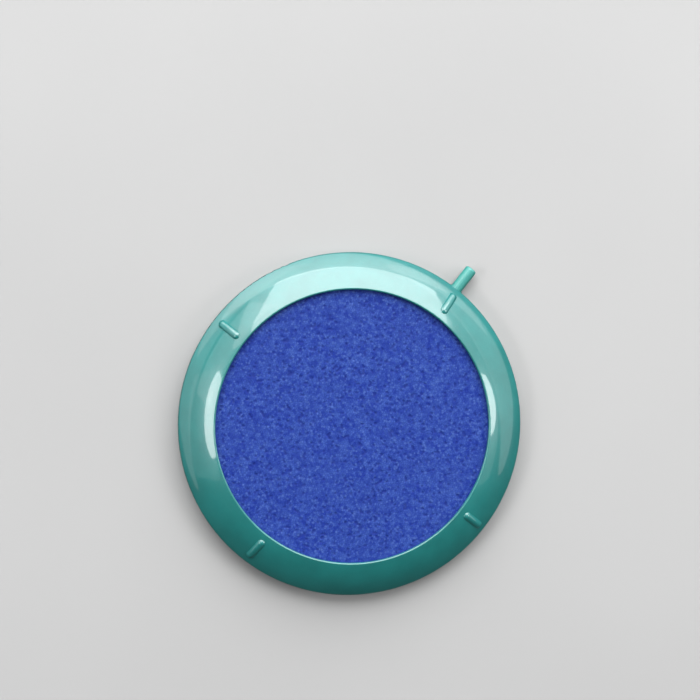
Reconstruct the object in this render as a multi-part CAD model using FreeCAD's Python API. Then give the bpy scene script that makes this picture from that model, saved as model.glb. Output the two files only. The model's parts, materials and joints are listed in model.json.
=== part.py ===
import FreeCAD, Part
import math
import os

# Air stone: a low round bubble disc that lies flat on a tank floor.
# Units are millimetres and degrees. +Z is up, out of the porous face. The origin is the centre
# of the plane that the disc rests on, and the hose nipple points along +X.

# ---- driving dimensions ------------------------------------------------------------------

DISC_R = 63.5               # outer edge of the ring: a 127 mm (5 in) disc
OPENING_R = 50.0            # opening in the ring, where the stone shows
HEIGHT = 15.4               # rest plane to the top of the lip

# ring shell
WALL = 1.8
EDGE_BEAD_R = 1.0           # rounding of the outer edge
EDGE_Z = 6.4                # height of the outer edge
LIP_ROUND = 0.5             # rounding of the lip round the opening
LIP_UNDER_Z = 13.9
SLOPE_R = 31.8              # the sloping face bulges on this radius
SKIRT_DRAFT = 0.3
SHELL_BOTTOM_Z = 0.8
COLLAR_IN_R = 53.2
COLLAR_OUT_R = 54.8
COLLAR_BOTTOM_Z = 3.0

# stiffening webs under the slope
WEB_COUNT = 12
WEB_START = 15.0
WEB_T = 1.2

# four raised ribs on the slope
RIB_COUNT = 4
RIB_IN_R = 52.6
RIB_OUT_R = 61.8
RIB_W = 3.0                 # where the rib meets the slope
RIB_H = 0.8
EMBED = 0.4                 # how far webs and ribs run into the wall they join

# base pan
PAN_R = 53.1
PAN_WALL = 1.6
PAN_TOP_Z = 12.6
FLOOR_Z = 0.8
FLOOR_T = 1.4
LEDGE_IN_R = 48.9
LEDGE_Z = 5.4
PAN_EDGE_ROUND = 0.4

# feet and stiffening spokes under the pan
CENTRE_FOOT_R = 8.0
FOOT_IN_R = 46.5
FOOT_OUT_R = 50.0
FOOT_COUNT = 6
FOOT_SPAN = 44.0
SPOKE_W = 1.4
SPOKE_Z = 0.4

# ribs that hold the stone off the pan's floor
SUPPORT_T = 1.6
SUPPORT_POST_R = 3.0
SUPPORT_RINGS = ((14.0, 3, 84.0), (31.0, 6, 46.0))      # middle radius, arcs, span of each

# snap lugs on the pan, which catch windows in the shell's collar
LUG_COUNT = 6
LUG_START = 30.0
LUG_SPAN = 7.0
LUG_PROUD = 0.7
LUG_BOTTOM_Z = 4.4
LUG_FLAT = 0.5
LUG_TOP_Z = 6.4
WINDOW_SPAN = 8.4
WINDOW_PLAY = 0.25

# stone
STONE_R = 51.1
STONE_TOP_Z = 13.7
STONE_TOP_CHAMFER = 0.9
STONE_BOTTOM_CHAMFER = 0.5

# seals
GASKET_T = 0.4
GASKET_IN_R = 49.1
BEAD_BOTTOM_Z = 10.0
BEAD_OUT_R = 52.5
BEAD_START = 0.2            # how far down the stone's bevel the sealant begins

# hose nipple and its O-ring
NIPPLE_Z = 3.5
NIPPLE_R = 2.2
NIPPLE_TIP_X = 73.1
NIPPLE_TIP_ROUND = 0.8
NIPPLE_ROOT_R = 2.5
NIPPLE_ROOT_X = 63.9        # end of the thicker root, where the hose stops
BORE_R = 1.3
STEM_R = 1.95
STEM_HOLE_R = 2.0
FLANGE_R = 2.9
FLANGE_T = 1.6
ORING_SECTION_R = 0.4
ORING_RING_R = 2.45
NOTCH_PLAY = 0.25
SADDLE_T = 1.3
SADDLE_HALF_W = 6.0
SADDLE_PLAY = 0.05          # between the flange and the saddle plate

# how the cuts and roundings are made
CUT_PAST = 1.0              # how far a cutting shape runs past what it cuts
NEAR = 0.02                 # an edge this close to a place counts as lying on it

# ---- derived places ----------------------------------------------------------------------

FLOOR_TOP_Z = FLOOR_Z + FLOOR_T
PAN_IN_R = PAN_R - PAN_WALL
STONE_BOTTOM_Z = LEDGE_Z + GASKET_T
BEAD_CENTRE = (DISC_R - EDGE_BEAD_R, EDGE_Z)
LIP_CENTRE = (OPENING_R + LIP_ROUND, HEIGHT - LIP_ROUND)
SKIRT_IN_R = BEAD_CENTRE[0] - WALL
SKIRT_FOOT = (BEAD_CENTRE[0] - SKIRT_DRAFT, SHELL_BOTTOM_Z)
FLANGE_X = PAN_R + 2 * ORING_SECTION_R
SADDLE_X = FLANGE_X + FLANGE_T + SADDLE_PLAY

X_AXIS = FreeCAD.Vector(1, 0, 0)
Y_AXIS = FreeCAD.Vector(0, 1, 0)
Z_AXIS = FreeCAD.Vector(0, 0, 1)
ORIGIN = FreeCAD.Vector(0, 0, 0)


# ---- helpers -----------------------------------------------------------------------------

def point(r, z):
    """A point of a section, drawn in the XZ plane."""
    return FreeCAD.Vector(r, 0, z)


def line(a, b):
    return Part.LineSegment(point(*a), point(*b)).toShape()


def arc(centre, radius, start, end):
    """The arc of a section from angle start to angle end, both in degrees."""
    ends = []
    for angle in (start, 0.5 * (start + end), end):
        turn = math.radians(angle)
        ends.append(point(centre[0] + radius * math.cos(turn), centre[1] + radius * math.sin(turn)))
    return Part.Arc(*ends).toShape()


def on_circle(centre, radius, angle):
    turn = math.radians(angle)
    return (centre[0] + radius * math.cos(turn), centre[1] + radius * math.sin(turn))


def revolve(edges, start=0.0, span=360.0):
    """Turn a closed section about Z, from the angle start over span degrees."""
    solid = Part.Face(Part.Wire(edges)).revolve(ORIGIN, Z_AXIS, span)
    solid.rotate(ORIGIN, Z_AXIS, start)
    return solid


def revolve_outline(corners, start=0.0, span=360.0):
    """Turn a section of straight sides about Z."""
    edges = [line(a, b) for a, b in zip(corners, corners[1:] + corners[:1])]
    return revolve(edges, start, span)


def ring_band(r_in, r_out, z_low, z_high, middle=0.0, span=360.0):
    """A flat-sided ring, or the arc of one that is centred on the angle middle."""
    corners = [(r_in, z_low), (r_out, z_low), (r_out, z_high), (r_in, z_high)]
    start = 0.0 if span == 360.0 else middle - 0.5 * span
    return revolve_outline(corners, start, span)


def rod_x(radius, x_from, x_to):
    """A round bar along X at the nipple's height."""
    return Part.makeCylinder(radius, x_to - x_from, FreeCAD.Vector(x_from, 0, NIPPLE_Z), X_AXIS)


def turned(shape, angle):
    copy = shape.copy()
    copy.rotate(ORIGIN, Z_AXIS, angle)
    return copy


def arch_notch(half_width, x_from, x_to):
    """An arch open at the bottom, which lets a wall drop down over the nipple."""
    corner = FreeCAD.Vector(x_from, -half_width, -CUT_PAST)
    slot = Part.makeBox(x_to - x_from, 2 * half_width, NIPPLE_Z + CUT_PAST, corner)
    return slot.fuse(rod_x(half_width, x_from, x_to))


def slope_centre():
    """Centre of the slope's arc, which is tangent to the lip's and the edge's roundings."""
    (x1, z1), (x2, z2) = LIP_CENTRE, BEAD_CENTRE
    d1 = SLOPE_R - LIP_ROUND
    d2 = SLOPE_R - EDGE_BEAD_R
    gap = math.hypot(x2 - x1, z2 - z1)
    along = (d1 * d1 - d2 * d2 + gap * gap) / (2 * gap)
    across = math.sqrt(d1 * d1 - along * along)
    ux, uz = (x2 - x1) / gap, (z2 - z1) / gap
    return (x1 + along * ux + across * uz, z1 + along * uz - across * ux)


def angle_from(centre, place):
    return math.degrees(math.atan2(place[1] - centre[1], place[0] - centre[0]))


SLOPE_CENTRE = slope_centre()
SLOPE_LOW_ANGLE = angle_from(SLOPE_CENTRE, BEAD_CENTRE)
SLOPE_HIGH_ANGLE = angle_from(SLOPE_CENTRE, LIP_CENTRE)


def slope_height(r, radius):
    """Height of the slope's arc, drawn at the given radius, above a point r from the axis."""
    return SLOPE_CENTRE[1] + math.sqrt(radius * radius - (r - SLOPE_CENTRE[0]) ** 2)


# ---- ring shell --------------------------------------------------------------------------

def outer_edges(raise_by=0.0):
    """The shell's visible outline, from the skirt's foot over the slope to the opening."""
    bead_r = EDGE_BEAD_R + raise_by
    lip_r = LIP_ROUND + raise_by
    skirt_top = on_circle(BEAD_CENTRE, bead_r, -90.0)
    return [
        line(SKIRT_FOOT, skirt_top),
        arc(BEAD_CENTRE, bead_r, -90.0, SLOPE_LOW_ANGLE),
        arc(SLOPE_CENTRE, SLOPE_R + raise_by, SLOPE_LOW_ANGLE, SLOPE_HIGH_ANGLE),
        arc(LIP_CENTRE, lip_r, SLOPE_HIGH_ANGLE, 180.0),
    ]


def filled_shape(raise_by=0.0):
    """The shell's outline as a full disc with the opening cut through it, seam along -X."""
    inner_r = OPENING_R - raise_by
    end = (inner_r, LIP_CENTRE[1])
    corner = (inner_r, SHELL_BOTTOM_Z)
    return revolve(outer_edges(raise_by) + [line(end, corner), line(corner, SKIRT_FOOT)], 180.0)


def shell_section():
    """Closed section of the skirt, slope, lip and collar."""
    skirt_foot_in = (SKIRT_IN_R - SKIRT_DRAFT, SHELL_BOTTOM_Z)
    under_r = SLOPE_R - WALL
    under_out = (SKIRT_IN_R, slope_height(SKIRT_IN_R, under_r))
    under_in = (COLLAR_OUT_R, slope_height(COLLAR_OUT_R, under_r))
    opening_low = (OPENING_R, LIP_UNDER_Z)
    opening_high = (OPENING_R, LIP_CENTRE[1])
    under_angles = (angle_from(SLOPE_CENTRE, under_in), angle_from(SLOPE_CENTRE, under_out))
    return outer_edges() + [
        line(opening_high, opening_low),
        line(opening_low, (COLLAR_IN_R, LIP_UNDER_Z)),
        line((COLLAR_IN_R, LIP_UNDER_Z), (COLLAR_IN_R, COLLAR_BOTTOM_Z)),
        line((COLLAR_IN_R, COLLAR_BOTTOM_Z), (COLLAR_OUT_R, COLLAR_BOTTOM_Z)),
        line((COLLAR_OUT_R, COLLAR_BOTTOM_Z), under_in),
        arc(SLOPE_CENTRE, under_r, *under_angles),
        line(under_out, skirt_foot_in),
        line(skirt_foot_in, SKIRT_FOOT),
    ]


def web(angle):
    """A radial plate that ties the collar to the skirt under the slope."""
    length = SKIRT_IN_R - COLLAR_OUT_R + 2 * EMBED
    corner = FreeCAD.Vector(COLLAR_OUT_R - EMBED, -0.5 * WEB_T, COLLAR_BOTTOM_Z)
    return turned(Part.makeBox(length, WEB_T, HEIGHT, corner), angle)


def nipple_saddle():
    """A plate across the nipple, which keeps its flange from pulling out."""
    corner = FreeCAD.Vector(SADDLE_X, -SADDLE_HALF_W, SHELL_BOTTOM_Z)
    return Part.makeBox(SADDLE_T, 2 * SADDLE_HALF_W, HEIGHT, corner)


def slope_direction(angle):
    """The way up the slope, square to the line from the slope's centre at the given angle."""
    return point(*on_circle((0.0, 0.0), 1.0, angle + 90.0))


def raised_rib(angle):
    """A slim rib with a rounded back and round ends, which runs down the slope."""
    half = 0.5 * RIB_W
    back_r = (half * half + RIB_H * RIB_H) / (2 * RIB_H)    # its width is a chord of this circle
    spine_r = SLOPE_R + RIB_H - back_r
    places = []
    for r in (RIB_IN_R + half, RIB_OUT_R - half):
        turn = angle_from(SLOPE_CENTRE, (r, slope_height(r, SLOPE_R)))
        places.append((turn, point(*on_circle(SLOPE_CENTRE, spine_r, turn))))
    (high_turn, high), (low_turn, low) = places
    uphill = slope_direction(high_turn)
    downhill = slope_direction(low_turn) * -1.0
    section = Part.Face(Part.Wire(Part.Circle(high, uphill, back_r).toShape()))
    middle = section.revolve(point(*SLOPE_CENTRE), Y_AXIS, high_turn - low_turn)
    ends = [
        Part.makeSphere(back_r, high, uphill, 0.0, 90.0, 360.0),
        Part.makeSphere(back_r, low, downhill, 0.0, 90.0, 360.0),
    ]
    return turned(middle.multiFuse(ends).cut(filled_shape(-EMBED)), angle)


def collar_window(angle):
    """The window in the collar that a snap lug catches."""
    z_low = LUG_BOTTOM_Z - WINDOW_PLAY
    z_high = LUG_TOP_Z + WINDOW_PLAY
    return ring_band(COLLAR_IN_R - CUT_PAST, COLLAR_OUT_R + CUT_PAST, z_low, z_high, angle, WINDOW_SPAN)


def lug_angles():
    return [LUG_START + index * 360.0 / LUG_COUNT for index in range(LUG_COUNT)]


def ring_shell():
    """The teal ring: skirt, slope, lip, hidden collar, webs and the four raised ribs."""
    body = revolve(shell_section())
    braces = [web(WEB_START + index * 360.0 / WEB_COUNT) for index in range(WEB_COUNT)]
    braces.append(nipple_saddle())
    inside = filled_shape(-EMBED)
    body = body.multiFuse([brace.common(inside) for brace in braces])
    body = body.multiFuse([raised_rib(index * 360.0 / RIB_COUNT) for index in range(RIB_COUNT)])
    for angle in lug_angles():
        body = body.cut(collar_window(angle))
    body = body.cut(arch_notch(FLANGE_R + NOTCH_PLAY, COLLAR_IN_R - CUT_PAST, SADDLE_X))
    body = body.cut(arch_notch(NIPPLE_ROOT_R + NOTCH_PLAY, SADDLE_X - CUT_PAST, DISC_R + CUT_PAST))
    return body


# ---- base pan ----------------------------------------------------------------------------

def pan_section():
    """Closed section of the floor, the wall and the ledge that the stone's rim lies on."""
    return [
        (0.0, FLOOR_Z),
        (PAN_R - PAN_EDGE_ROUND, FLOOR_Z),
        (PAN_R, FLOOR_Z + PAN_EDGE_ROUND),
        (PAN_R, PAN_TOP_Z),
        (PAN_IN_R, PAN_TOP_Z),
        (PAN_IN_R, LEDGE_Z),
        (LEDGE_IN_R, LEDGE_Z),
        (LEDGE_IN_R, FLOOR_TOP_Z),
        (0.0, FLOOR_TOP_Z),
    ]


def support_arcs():
    """Broken rings on the floor that carry the stone and let the air pass between them."""
    arcs = []
    for middle_r, count, span in SUPPORT_RINGS:
        r_in = middle_r - 0.5 * SUPPORT_T
        r_out = middle_r + 0.5 * SUPPORT_T
        for index in range(count):
            middle = (index + 0.5) * 360.0 / count
            arcs.append(ring_band(r_in, r_out, FLOOR_TOP_Z - EMBED, STONE_BOTTOM_Z, middle, span))
    return arcs


def feet():
    """A round foot under the centre, and a broken foot ring joined to it by spokes."""
    pads = [Part.makeCylinder(CENTRE_FOOT_R, FLOOR_Z + EMBED)]
    spoke_length = FOOT_IN_R - CENTRE_FOOT_R + 2 * EMBED
    spoke_corner = FreeCAD.Vector(CENTRE_FOOT_R - EMBED, -0.5 * SPOKE_W, SPOKE_Z)
    spoke = Part.makeBox(spoke_length, SPOKE_W, FLOOR_Z + EMBED - SPOKE_Z, spoke_corner)
    for index in range(FOOT_COUNT):
        middle = (index + 0.5) * 360.0 / FOOT_COUNT
        pads.append(ring_band(FOOT_IN_R, FOOT_OUT_R, 0.0, FLOOR_Z + EMBED, middle, FOOT_SPAN))
        pads.append(turned(spoke, middle))
    return pads


def snap_lug(angle):
    """A wedge on the pan's wall: sloped above, flat below where it catches the collar."""
    corners = [
        (PAN_R - EMBED, LUG_BOTTOM_Z),
        (PAN_R + LUG_PROUD, LUG_BOTTOM_Z),
        (PAN_R + LUG_PROUD, LUG_BOTTOM_Z + LUG_FLAT),
        (PAN_R, LUG_TOP_Z),
        (PAN_R - EMBED, LUG_TOP_Z),
    ]
    return revolve_outline(corners, angle - 0.5 * LUG_SPAN, LUG_SPAN)


def base_pan():
    """The dish under the stone, which is the air chamber and the foot of the disc."""
    body = revolve_outline(pan_section())
    post = Part.makeCylinder(SUPPORT_POST_R, STONE_BOTTOM_Z - FLOOR_Z, FreeCAD.Vector(0, 0, FLOOR_Z))
    additions = [post] + support_arcs() + feet() + [snap_lug(angle) for angle in lug_angles()]
    body = body.multiFuse(additions)
    body = body.cut(rod_x(STEM_HOLE_R, PAN_IN_R, PAN_R + CUT_PAST))
    body = body.cut(rod_x(BORE_R, LEDGE_IN_R - CUT_PAST, PAN_IN_R + CUT_PAST))
    return body


# ---- stone and seals ---------------------------------------------------------------------

def stone_disc():
    """The porous stone: a thick disc with bevelled rims."""
    corners = [
        (0.0, STONE_BOTTOM_Z),
        (STONE_R - STONE_BOTTOM_CHAMFER, STONE_BOTTOM_Z),
        (STONE_R, STONE_BOTTOM_Z + STONE_BOTTOM_CHAMFER),
        (STONE_R, STONE_TOP_Z - STONE_TOP_CHAMFER),
        (STONE_R - STONE_TOP_CHAMFER, STONE_TOP_Z),
        (0.0, STONE_TOP_Z),
    ]
    return revolve_outline(corners)


def stone_gasket():
    """The flat silicone ring between the pan's ledge and the stone."""
    return ring_band(GASKET_IN_R, STONE_R - STONE_BOTTOM_CHAMFER, LEDGE_Z, STONE_BOTTOM_Z)


def edge_seal():
    """The bead of sealant round the stone's top edge, under the lip."""
    bevel_r = STONE_R - STONE_TOP_CHAMFER + BEAD_START
    corners = [
        (STONE_R, BEAD_BOTTOM_Z),
        (PAN_IN_R, BEAD_BOTTOM_Z),
        (PAN_IN_R, PAN_TOP_Z),
        (BEAD_OUT_R, PAN_TOP_Z),
        (BEAD_OUT_R, LIP_UNDER_Z),
        (bevel_r, LIP_UNDER_Z),
        (bevel_r, STONE_TOP_Z - BEAD_START),
        (STONE_R, STONE_TOP_Z - STONE_TOP_CHAMFER),
    ]
    return revolve_outline(corners)


# ---- hose nipple -------------------------------------------------------------------------

def hose_nipple():
    """The round-ended hose nipple, with the flange and stem that fix it to the pan."""
    tube = rod_x(NIPPLE_R, FLANGE_X, NIPPLE_TIP_X)
    tip = [edge for edge in tube.Edges if abs(edge.BoundBox.XMin - NIPPLE_TIP_X) < NEAR]
    tube = tube.makeFillet(NIPPLE_TIP_ROUND, tip)
    root = rod_x(NIPPLE_ROOT_R, FLANGE_X, NIPPLE_ROOT_X)
    flange = rod_x(FLANGE_R, FLANGE_X, FLANGE_X + FLANGE_T)
    stem = rod_x(STEM_R, PAN_IN_R, FLANGE_X + EMBED)
    body = tube.multiFuse([root, flange, stem]).removeSplitter()
    return body.cut(rod_x(BORE_R, PAN_IN_R - CUT_PAST, NIPPLE_TIP_X + CUT_PAST))


def nipple_oring():
    """The O-ring on the stem, between the pan's wall and the flange."""
    centre = FreeCAD.Vector(PAN_R + ORING_SECTION_R, 0, NIPPLE_Z)
    return Part.makeTorus(ORING_RING_R, ORING_SECTION_R, centre, X_AXIS)


# ---- export ------------------------------------------------------------------------------

NODES = {
    "ring_shell": ring_shell,
    "base_pan": base_pan,
    "stone_disc": stone_disc,
    "stone_gasket": stone_gasket,
    "edge_seal": edge_seal,
    "hose_nipple": hose_nipple,
    "nipple_oring": nipple_oring,
}

os.makedirs("parts", exist_ok=True)
for name, make in NODES.items():
    shape = make()
    shape.exportStep("parts/" + name + ".step")
    print(name, len(shape.Solids), "solid, valid:", shape.isValid(), "volume", round(shape.Volume, 1))
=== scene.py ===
"""Looks of the air stone: a low round bubble disc with a teal ring and a blue grained stone.

Everything is in metres, in the shared frame: +Z up, the nipple along +X, the rest plane at z 0.
"""

import json
import math
import random

import bmesh
import bpy
from mathutils import Matrix, Vector
from mathutils.geometry import delaunay_2d_cdt


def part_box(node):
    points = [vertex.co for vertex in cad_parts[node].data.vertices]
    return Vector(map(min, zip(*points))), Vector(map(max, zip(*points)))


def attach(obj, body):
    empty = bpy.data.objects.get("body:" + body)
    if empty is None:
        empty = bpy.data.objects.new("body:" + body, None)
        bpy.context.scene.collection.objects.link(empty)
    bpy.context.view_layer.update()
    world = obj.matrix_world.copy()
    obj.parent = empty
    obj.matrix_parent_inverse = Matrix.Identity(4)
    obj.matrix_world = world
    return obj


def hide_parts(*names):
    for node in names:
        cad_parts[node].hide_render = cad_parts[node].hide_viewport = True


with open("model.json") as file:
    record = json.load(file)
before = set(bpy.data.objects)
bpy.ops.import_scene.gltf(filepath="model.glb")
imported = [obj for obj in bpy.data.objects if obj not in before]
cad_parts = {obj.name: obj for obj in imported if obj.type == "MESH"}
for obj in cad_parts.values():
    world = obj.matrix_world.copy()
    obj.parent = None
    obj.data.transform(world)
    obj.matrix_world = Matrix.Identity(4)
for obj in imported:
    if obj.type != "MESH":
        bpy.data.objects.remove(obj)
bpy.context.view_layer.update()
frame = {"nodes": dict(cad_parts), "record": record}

MM = 0.001
SEED = 7

# ---- what the frame says -----------------------------------------------------------------

RING_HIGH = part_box("ring_shell")[1]
STONE_LOW, STONE_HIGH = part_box("stone_disc")

RING_R = RING_HIGH.x                    # outer edge of the ring
STONE_R = STONE_HIGH.x
MOUNT_AXES = {mount["name"]: mount["axis"] for mount in frame["record"]["mounts"]}
NIPPLE_AXIS = Vector(MOUNT_AXES["hose_nipple"])

# ---- picture -----------------------------------------------------------------------------

NIPPLE_TURN = math.radians(51.6)        # the nipple's direction in the picture, above the right
PICTURE_W = 4.03 * RING_R               # width of what the camera sees, in the ring's plane
CAMERA_D = 0.60
DISC_DROP = 0.434 * RING_R              # how far the disc's centre is below the picture's
DISC_RIGHT = 0.0003                     # how far the disc's centre is right of the picture's
CAMERA_LEFT = 0.060                     # how far the camera stands left of the disc's axis
CAMERA_UP = 0.062
EDGE_Z = 0.42 * RING_HIGH.z             # height of the ring's outermost edge
SENSOR_MM = 36.0

LIGHT_D = 1.6                           # how far every light stands from the disc
SURROUND = 0.03                         # brightness of the surround, as the disc sees it
BACKGROUND = 0.58                       # and as the camera sees it
FLOOR_R = 0.85                          # the floor ends before the lights that stand on it
FLOOR_SIDES = 256

RIGHT = Matrix.Rotation(-NIPPLE_TURN, 3, "Z") @ NIPPLE_AXIS
UP = Matrix.Rotation(math.radians(90.0), 3, "Z") @ RIGHT

# ---- colours -----------------------------------------------------------------------------

TEAL = (0.0122, 0.150, 0.143)
# the nipple: the ring's plastic made lighter as painted light, standing in for light thrown on it
NIPPLE_TEAL_PAINTED_LIGHT = (0.042, 0.255, 0.228)
PAN_TEAL = tuple(0.8 * c for c in TEAL)
CLOUD_SHADE = 0.86                      # the plastic's darker clouds, as a share of its colour
SPECK_WHITE = 0.08                      # how far the plastic's pale specks go towards white

BLUE_DEEP = (0.0003, 0.0150, 0.188)     # the darkest grains
BLUE_BRIGHT = (0.0275, 0.0690, 0.287)   # the brighter grains
BLUE_PALE_AND_GLINT = (0.053, 0.104, 0.312)       # the few palest grains: partly grain colour, partly a painted glint of the grains' sparkle
BLUE_DUSTY = (0.0155, 0.041, 0.201)     # wide patches
BLUE_GAP_PAINTED_SHADE = (0.0002, 0.0074, 0.118)      # painted shade in the gaps between grains and in the pits
BLUE_GRIT = (0.021, 0.055, 0.270)       # fine dust on the grains

# ---- stone grains ------------------------------------------------------------------------

GRAIN = 0.85 * MM                       # spacing of the grains
GRAIN_JITTER = 0.432                    # longest shift of a grain, as a share of the spacing
RIM_ROOM = 0.6                          # free space inside the rim, as a share of the spacing
GRAIN_RISE = 0.10 * MM                  # grain tops above the face's plane
GRAIN_SPREAD = 0.07 * MM
GAP_DEPTH = 0.17 * MM                   # gaps between grains below the plane
GAP_RANGE = (0.6, 1.2)                  # as shares of the gap's depth
GAP_PAINTED_SHADE = 0.55                        # painted shade of a gap beside whole grains, up to 1
PIT_SHARE = 0.085                       # share of places where a grain is missing
PIT_DEPTH = 0.33 * MM
PIT_RANGE = (0.6, 1.0)                  # as shares of the pit's depth
PIT_PULL = 0.3                          # how far a pit pulls down the gaps round it
BEVEL = 0.9 * MM
BOTTOM_BEVEL = 0.5 * MM
SIDE_CLEAR = 0.02 * MM                  # keeps the stone inside the space of its CAD solid
HAIR = 0.01 * MM                        # too small to see
RIM_STEPS = 460
UNDERSIDE_RINGS = (0.7, 0.3)            # rings of the flat underside, as shares of its radius
SAME_POINT = 1e-9                       # points nearer than this count as one

FACE_R = STONE_R - BEVEL                # the face, inside its bevel
FACE_Z = STONE_HIGH.z - GRAIN_RISE - GRAIN_SPREAD    # the plane that the grains rise from


# ---- small helpers -----------------------------------------------------------------------

def on_picture(right, up, height=0.0):
    """A point from the disc's axis, given along the picture's right and up."""
    return RIGHT * right + UP * up + Vector((0, 0, height))


def on_circle(radius, turn):
    """The x and y of a point on a circle round the disc's axis."""
    return radius * math.cos(turn), radius * math.sin(turn)


def new_object(name, data):
    obj = bpy.data.objects.new(name, data)
    bpy.context.scene.collection.objects.link(obj)
    return obj


def aim(obj, place, target, up=None):
    """Puts an object at a place with its -Z towards the target."""
    back = (place - target).normalized()
    side = (up or Vector((0, 0, 1))).cross(back).normalized()
    rise = back.cross(side)
    turn = Matrix((side, rise, back)).transposed().to_4x4()
    obj.matrix_world = Matrix.Translation(place) @ turn


# ---- materials ---------------------------------------------------------------------------

# The Mix node's sockets repeat their names, so they are taken by number.
MIX_SHARE = 0
MIX_VALUES = (2, 3)
MIX_VALUE_OUT = 0
MIX_COLOURS = (6, 7)
MIX_COLOUR_OUT = 2


class Shader:
    """A material's node tree, with its Principled shader and short ways to add nodes."""

    def __init__(self, name):
        self.material = bpy.data.materials.new(name)
        self.material.use_nodes = True
        self.nodes = self.material.node_tree.nodes
        self.links = self.material.node_tree.links
        self.principled = self.nodes["Principled BSDF"]
        self.place = self.nodes.new("ShaderNodeTexCoord").outputs["Object"]

    def set(self, **values):
        """Sets the shader's own sockets, with _ for a space in a socket's name."""
        for name, value in values.items():
            self.principled.inputs[name.replace("_", " ")].default_value = value

    def feed(self, source, socket):
        """Links an output to one of the shader's own sockets."""
        self.links.new(source, self.principled.inputs[socket])

    def noise(self, size, detail=3.0, roughness=0.55, distortion=0.0):
        """Noise whose features are about size metres across."""
        node = self.nodes.new("ShaderNodeTexNoise")
        node.inputs["Scale"].default_value = 1.0 / size
        node.inputs["Detail"].default_value = detail
        node.inputs["Roughness"].default_value = roughness
        node.inputs["Distortion"].default_value = distortion
        self.links.new(self.place, node.inputs["Vector"])
        return node.outputs["Fac"]

    def attribute(self, name):
        """A value stored on the mesh."""
        node = self.nodes.new("ShaderNodeAttribute")
        node.attribute_name = name
        return node.outputs["Fac"]

    def remap(self, source, low, high, to_low=0.0, to_high=1.0):
        """Stretches low..high to to_low..to_high, and holds the ends beyond that."""
        node = self.nodes.new("ShaderNodeMapRange")
        node.inputs["From Min"].default_value = low
        node.inputs["From Max"].default_value = high
        node.inputs["To Min"].default_value = to_low
        node.inputs["To Max"].default_value = to_high
        self.links.new(source, node.inputs["Value"])
        return node.outputs["Result"]

    def mix(self, share, first, second):
        """Mixes two colours, each one a colour or an output, by the share of the second."""
        node = self.nodes.new("ShaderNodeMix")
        node.data_type = "RGBA"
        self.links.new(share, node.inputs[MIX_SHARE])
        for number, value in zip(MIX_COLOURS, (first, second)):
            if isinstance(value, bpy.types.NodeSocket):
                self.links.new(value, node.inputs[number])
            else:
                node.inputs[number].default_value = (*value, 1.0)
        return node.outputs[MIX_COLOUR_OUT]

    def mean(self, first, second, share):
        """Weighted mean of two values, with share of the second."""
        node = self.nodes.new("ShaderNodeMix")
        node.inputs[MIX_SHARE].default_value = share
        for number, value in zip(MIX_VALUES, (first, second)):
            self.links.new(value, node.inputs[number])
        return node.outputs[MIX_VALUE_OUT]

    def bump(self, height, distance, strength, under=None):
        """A bumped normal, laid over the one under it."""
        node = self.nodes.new("ShaderNodeBump")
        node.inputs["Strength"].default_value = strength
        node.inputs["Distance"].default_value = distance
        self.links.new(height, node.inputs["Height"])
        if under is not None:
            self.links.new(under, node.inputs["Normal"])
        return node.outputs["Normal"]


def teal_plastic(name, base, roughness, coat):
    """Moulded plastic: a slight cloud in the pigment, fine grain and hairline scuffs."""
    s = Shader(name)
    darker = tuple(CLOUD_SHADE * c for c in base)
    lighter = tuple(c + SPECK_WHITE * (1.0 - c) for c in base)
    cloud = s.remap(s.noise(9 * MM, detail=4.0), 0.35, 0.65)
    speck = s.remap(s.noise(0.5 * MM, detail=2.0), 0.62, 0.80, to_high=0.22)
    pigment = s.mix(cloud, darker, base)
    s.feed(s.mix(speck, pigment, lighter), "Base Color")
    streaks = s.noise(4 * MM, detail=5.0, roughness=0.7, distortion=2.0)
    s.feed(s.remap(streaks, 0.45, 0.75, roughness, roughness + 0.12), "Roughness")
    grain = s.bump(s.noise(0.35 * MM, detail=2.0), distance=0.006 * MM, strength=0.6)
    wave = s.bump(s.noise(14 * MM, detail=1.0), distance=0.05 * MM, strength=0.5, under=grain)
    s.feed(wave, "Normal")
    s.set(IOR=1.5, Coat_Weight=coat, Coat_Roughness=0.05, Coat_IOR=1.5)
    return s.material


def stone_material():
    """Bonded grains: each has its own tone, in clumps, the palest partly a painted glint; painted shade
    darkens the gaps and pits; grit on top.
    """
    s = Shader("blue_stone")
    clump = s.remap(s.noise(2.1 * MM), 0.35, 0.65)
    tone = s.mean(s.attribute("grain_tone"), clump, share=0.55)
    blue = s.mix(s.remap(tone, 0.15, 0.85), BLUE_DEEP, BLUE_BRIGHT)
    # the palest grains, partly painted glints
    pale = s.mix(s.remap(s.attribute("grain_tone"), 0.80, 1.15), blue, BLUE_PALE_AND_GLINT)
    patch = s.remap(s.noise(11 * MM), 0.40, 0.70, to_high=0.30)
    dusty = s.mix(patch, pale, BLUE_DUSTY)
    # painted shade: gaps and pits darker, the more grains are missing round them
    shade = s.remap(s.attribute("painted_gap_shade"), 0.0, 1.0, to_high=0.9)
    gaps = s.mix(shade, dusty, BLUE_GAP_PAINTED_SHADE)
    grit = s.remap(s.noise(0.2 * MM, detail=2.0), 0.40, 0.70, to_high=0.25)
    s.feed(s.mix(grit, gaps, BLUE_GRIT), "Base Color")
    s.feed(s.bump(s.noise(0.14 * MM), distance=0.04 * MM, strength=0.7), "Normal")
    s.set(Roughness=0.7, Specular_IOR_Level=0.2)
    return s.material


def silicone():
    """Milky sealant with a faint cloud and a soft skin."""
    s = Shader("silicone_seal")
    cloud = s.remap(s.noise(2 * MM), 0.3, 0.7)
    s.feed(s.mix(cloud, (0.50, 0.54, 0.54), (0.62, 0.65, 0.64)), "Base Color")
    s.feed(s.bump(s.noise(1.2 * MM), distance=0.05 * MM, strength=0.6), "Normal")
    s.set(Roughness=0.35, IOR=1.41)
    return s.material


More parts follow.
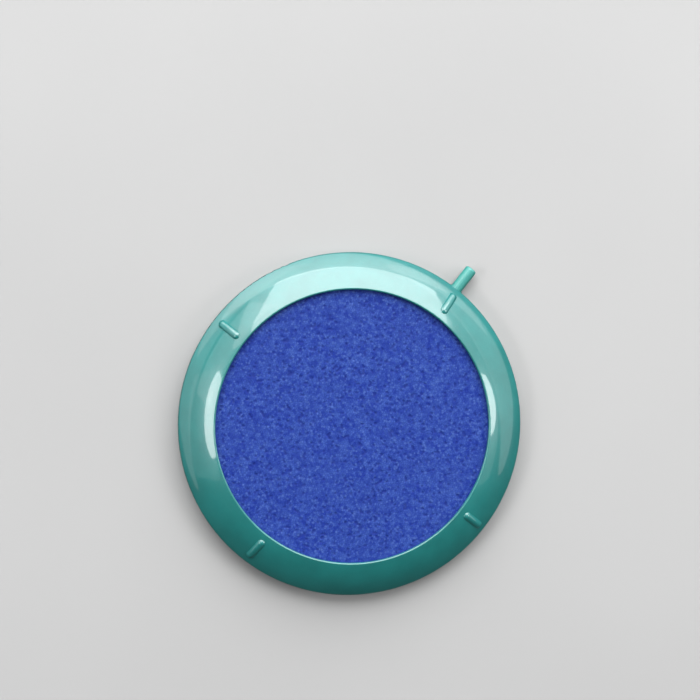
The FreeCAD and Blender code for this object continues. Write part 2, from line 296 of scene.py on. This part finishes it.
def black_rubber():
    """Dull black rubber with a fine grain."""
    s = Shader("black_rubber")
    cloud = s.remap(s.noise(0.8 * MM), 0.3, 0.7)
    s.feed(s.mix(cloud, (0.012, 0.012, 0.013), (0.03, 0.03, 0.03)), "Base Color")
    s.feed(s.bump(s.noise(0.2 * MM), distance=0.01 * MM, strength=0.7), "Normal")
    s.set(Roughness=0.55, IOR=1.5)
    return s.material


def paper_floor():
    """Matte pale paper with a faint cloud."""
    s = Shader("pale_floor")
    cloud = s.remap(s.noise(0.25), 0.3, 0.7)
    s.feed(s.mix(cloud, (0.31, 0.31, 0.31), (0.33, 0.33, 0.33)), "Base Color")
    s.set(Roughness=1.0, Specular_IOR_Level=0.0)
    return s.material


# ---- stone -------------------------------------------------------------------------------

def grain_centres(rng):
    """Grain places on a jittered triangular grid inside the stone's bevel."""
    row_h = GRAIN * math.sqrt(3) / 2
    rows = int(FACE_R / row_h) + 1
    columns = int(FACE_R / GRAIN) + 1
    centres = []
    for row in range(-rows, rows + 1):
        shift = 0.5 * GRAIN if row % 2 else 0.0
        for column in range(-columns, columns + 1):
            reach = GRAIN_JITTER * GRAIN * math.sqrt(rng.random())
            jitter_x, jitter_y = on_circle(reach, rng.uniform(0, 2 * math.pi))
            x = column * GRAIN + shift + jitter_x
            y = row * row_h + jitter_y
            if math.hypot(x, y) < FACE_R - RIM_ROOM * GRAIN:
                centres.append(Vector((x, y)))
    return centres


def rim_points():
    """Evenly spaced points on the edge of the face, where the bevel begins."""
    turns = (2 * math.pi * step / RIM_STEPS for step in range(RIM_STEPS))
    return [Vector(on_circle(FACE_R, turn)) for turn in turns]


def grain_heights(count, rng):
    """Height of each grain's top, and whether the grain is missing."""
    heights, pits = [], []
    for _ in range(count):
        pit = rng.random() < PIT_SHARE
        rise = GRAIN_RISE + rng.uniform(-1, 1) * GRAIN_SPREAD
        heights.append(-PIT_DEPTH * rng.uniform(*PIT_RANGE) if pit else rise)
        pits.append(pit)
    return heights, pits


def add_tops(mesh, painted_shade_layer, places, heights, pits):
    """Adds each grain's top. Returns all the tops, and the ones on the rim, which lie flat."""
    tops, rim = [], []
    for place, height, pit in zip(places, heights, pits):
        at_rim = place.length > FACE_R - HAIR
        vert = mesh.verts.new((place.x, place.y, FACE_Z if at_rim else FACE_Z + height))
        # a pit where a grain is missing gets full painted shade
        vert[painted_shade_layer] = 1.0 if pit and not at_rim else 0.0
        tops.append(vert)
        if at_rim:
            rim.append(vert)
    return tops, rim


def add_gaps(mesh, painted_shade_layer, places, pits, triangles, rng):
    """Adds a gap between each three grains. Returns the grid's edges, each with its gaps."""
    edges = {}
    for triangle in triangles:
        a, b, c = triangle
        centre = (places[a] + places[b] + places[c]) / 3
        missing = sum(pits[grain] for grain in triangle) / 3
        depth = GAP_DEPTH * rng.uniform(*GAP_RANGE) + PIT_PULL * PIT_DEPTH * missing
        gap = mesh.verts.new((centre.x, centre.y, FACE_Z - depth))
        # painted shade in the gap, darker the more of its grains are missing
        gap[painted_shade_layer] = GAP_PAINTED_SHADE + (1.0 - GAP_PAINTED_SHADE) * missing
        for first, second in ((a, b), (b, c), (c, a)):
            edges.setdefault(frozenset((first, second)), []).append((first, second, gap))
    return edges


def edge_faces(sides, tops):
    """The faces along one edge of the grid, each with the grain that it belongs to.

    An edge between two triangles gets a face for each of its grains, from the grain's top to
    the two gaps beside the edge. An edge on the rim has only one gap.
    """
    a, b, gap = sides[0]
    if len(sides) == 1:
        return [((tops[a], tops[b], gap), a)]
    far_gap = sides[1][2]
    return [((tops[a], far_gap, gap), a), ((tops[b], gap, far_gap), b)]


def build_stone(material):
    """The stone as a closed mesh whose face is made of single grains with gaps between."""
    rng = random.Random(SEED)
    places, _, triangles, *_ = delaunay_2d_cdt(grain_centres(rng) + rim_points(), [], [], 0, SAME_POINT)
    heights, pits = grain_heights(len(places), rng)
    tones = [rng.random() for _ in places]

    mesh = bmesh.new()
    tone_layer = mesh.faces.layers.float.new("grain_tone")
    # each point's painted shade, for the gaps and pits
    painted_shade_layer = mesh.verts.layers.float.new("painted_gap_shade")
    tops, rim = add_tops(mesh, painted_shade_layer, places, heights, pits)
    edges = add_gaps(mesh, painted_shade_layer, places, pits, triangles, rng)
    for sides in edges.values():
        for corners, grain in edge_faces(sides, tops):
            face = mesh.faces.new(corners)
            face.smooth = True
            face[tone_layer] = tones[grain]

    close_stone(mesh, rim, rng, tone_layer)
    data = bpy.data.meshes.new("porous_stone")
    mesh.to_mesh(data)
    mesh.free()
    data.materials.append(material)
    stone = new_object("porous_stone", data)
    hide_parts("stone_disc")
    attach(stone, "root")


def vert_turn(vert):
    """The direction of a point, seen from the disc's axis."""
    return math.atan2(vert.co.y, vert.co.x)


def close_stone(mesh, rim, rng, tone_layer):
    """The stone's bevel, side and underside, hidden in the pan."""
    side_r = STONE_R - SIDE_CLEAR
    bottom_z = STONE_LOW.z + HAIR
    section = [
        (side_r, STONE_HIGH.z - BEVEL),
        (side_r, STONE_LOW.z + BOTTOM_BEVEL),
        (STONE_R - BOTTOM_BEVEL, bottom_z),
        *((share * STONE_R, bottom_z) for share in UNDERSIDE_RINGS),
    ]
    ring = sorted(rim, key=vert_turn)
    for radius, z in section:
        lower = [mesh.verts.new((*on_circle(radius, vert_turn(vert)), z)) for vert in ring]
        for index in range(len(ring)):
            following = (index + 1) % len(ring)
            face = mesh.faces.new((ring[index], lower[index], lower[following], ring[following]))
            face[tone_layer] = rng.random()
        ring = lower
    mesh.faces.new(ring[::-1])[tone_layer] = 0.5


# ---- CAD nodes ---------------------------------------------------------------------------

def dress(node, material):
    """Gives a CAD node its material."""
    data = frame["nodes"][node].data
    data.materials.clear()
    data.materials.append(material)


def dress_cad_nodes():
    dress("ring_shell", teal_plastic("teal_plastic", TEAL, roughness=0.30, coat=1.0))
    # the nipple gets a lighter copy of the ring's plastic as painted light
    dress("hose_nipple", teal_plastic("nipple_plastic", NIPPLE_TEAL_PAINTED_LIGHT, roughness=0.36, coat=0.3))
    dress("base_pan", teal_plastic("pan_plastic", PAN_TEAL, roughness=0.5, coat=0.0))
    seal = silicone()
    dress("stone_gasket", seal)
    dress("edge_seal", seal)
    dress("nipple_oring", black_rubber())


# ---- stage, lights and camera ------------------------------------------------------------

def build_floor():
    """A round pale floor. The gloss doesn't mirror it, so the ring's lowest band stays deep."""
    bpy.ops.mesh.primitive_circle_add(
        vertices=FLOOR_SIDES, radius=FLOOR_R, fill_type="NGON", location=(0, 0, 0)
    )
    floor = bpy.context.object
    floor.name = "floor"
    floor.data.materials.append(paper_floor())
    floor.visible_glossy = False


def light_size(spread):
    """The width in metres of a light that the disc sees under the given angle in degrees."""
    return 2 * LIGHT_D * math.tan(math.radians(0.5 * spread))


def soft_box(name, azimuth, elevation, spread, brightness, shape="RECTANGLE"):
    """An area light that faces the disc.

    All angles are in degrees: where it stands, with the azimuth measured on the picture from
    its right, and its spread, the width and height under which the disc sees it.
    """
    data = bpy.data.lights.new(name, "AREA")
    data.shape = shape
    data.size, data.size_y = (light_size(angle) for angle in spread)
    fill = math.pi / 4 if shape == "ELLIPSE" else 1.0
    data.energy = brightness * math.pi * fill * data.size * data.size_y
    lamp = new_object(name, data)
    lamp.visible_camera = False
    azimuth, elevation = math.radians(azimuth), math.radians(elevation)
    away = LIGHT_D * math.cos(elevation)
    place = on_picture(away * math.cos(azimuth), away * math.sin(azimuth), LIGHT_D * math.sin(elevation))
    aim(lamp, place, Vector((0, 0, RING_HIGH.z)))


def build_lights():
    """A key light at the picture's top, low lights along the horizon, and soft fill.

    The two strips make the small bright patches beside the lip.
    """
    soft_box("key_light", 83, 43, spread=(66, 46), brightness=5.35)
    soft_box("key_wide", 89, 43, spread=(78, 46), brightness=1.95)
    soft_box("overhead", 60, 82, spread=(26, 26), brightness=2.0)
    soft_box("low_key", 94, 10, spread=(94, 22), brightness=1.9, shape="ELLIPSE")
    soft_box("low_key_wide", 92, 10, spread=(132, 22), brightness=1.35, shape="ELLIPSE")
    soft_box("left_panel", 150, 36, spread=(42, 26), brightness=1.2)
    soft_box("left_fill", 185, 30, spread=(40, 34), brightness=0.5)
    soft_box("left_low", 156, 9, spread=(108, 20), brightness=0.9, shape="ELLIPSE")
    soft_box("right_panel", 8, 40, spread=(60, 24), brightness=0.6)
    soft_box("right_low", 24, 13.5, spread=(92, 31), brightness=1.15, shape="ELLIPSE")
    soft_box("left_strip", 181.5, 45, spread=(29, 16), brightness=8.4, shape="ELLIPSE")
    soft_box("right_strip", 0.5, 39.5, spread=(19, 18), brightness=9.2, shape="ELLIPSE")


def build_world():
    """A dim surround, so that the ring's lower side stays deep, behind a pale background."""
    world = bpy.data.worlds.new("studio")
    bpy.context.scene.world = world
    world.use_nodes = True
    nodes, links = world.node_tree.nodes, world.node_tree.links
    seen = nodes.new("ShaderNodeLightPath").outputs["Is Camera Ray"]
    strength = nodes.new("ShaderNodeMapRange")
    strength.inputs["To Min"].default_value = SURROUND
    strength.inputs["To Max"].default_value = BACKGROUND
    links.new(seen, strength.inputs["Value"])
    links.new(strength.outputs["Result"], nodes["Background"].inputs["Strength"])
    nodes["Background"].inputs["Color"].default_value = (1.0, 1.0, 1.0, 1.0)


def build_camera():
    data = bpy.data.cameras.new("camera")
    data.sensor_width = SENSOR_MM
    data.lens = SENSOR_MM * CAMERA_D / PICTURE_W
    camera = new_object("camera", data)
    target = on_picture(-DISC_RIGHT, DISC_DROP, EDGE_Z)
    aim(camera, on_picture(-CAMERA_LEFT, CAMERA_UP, EDGE_Z + CAMERA_D), target, UP)
    bpy.context.scene.camera = camera


# ---- the scene ---------------------------------------------------------------------------

dress_cad_nodes()
build_stone(stone_material())
build_floor()
build_lights()
build_world()
build_camera()
bpy.context.scene.view_settings.view_transform = "Standard"
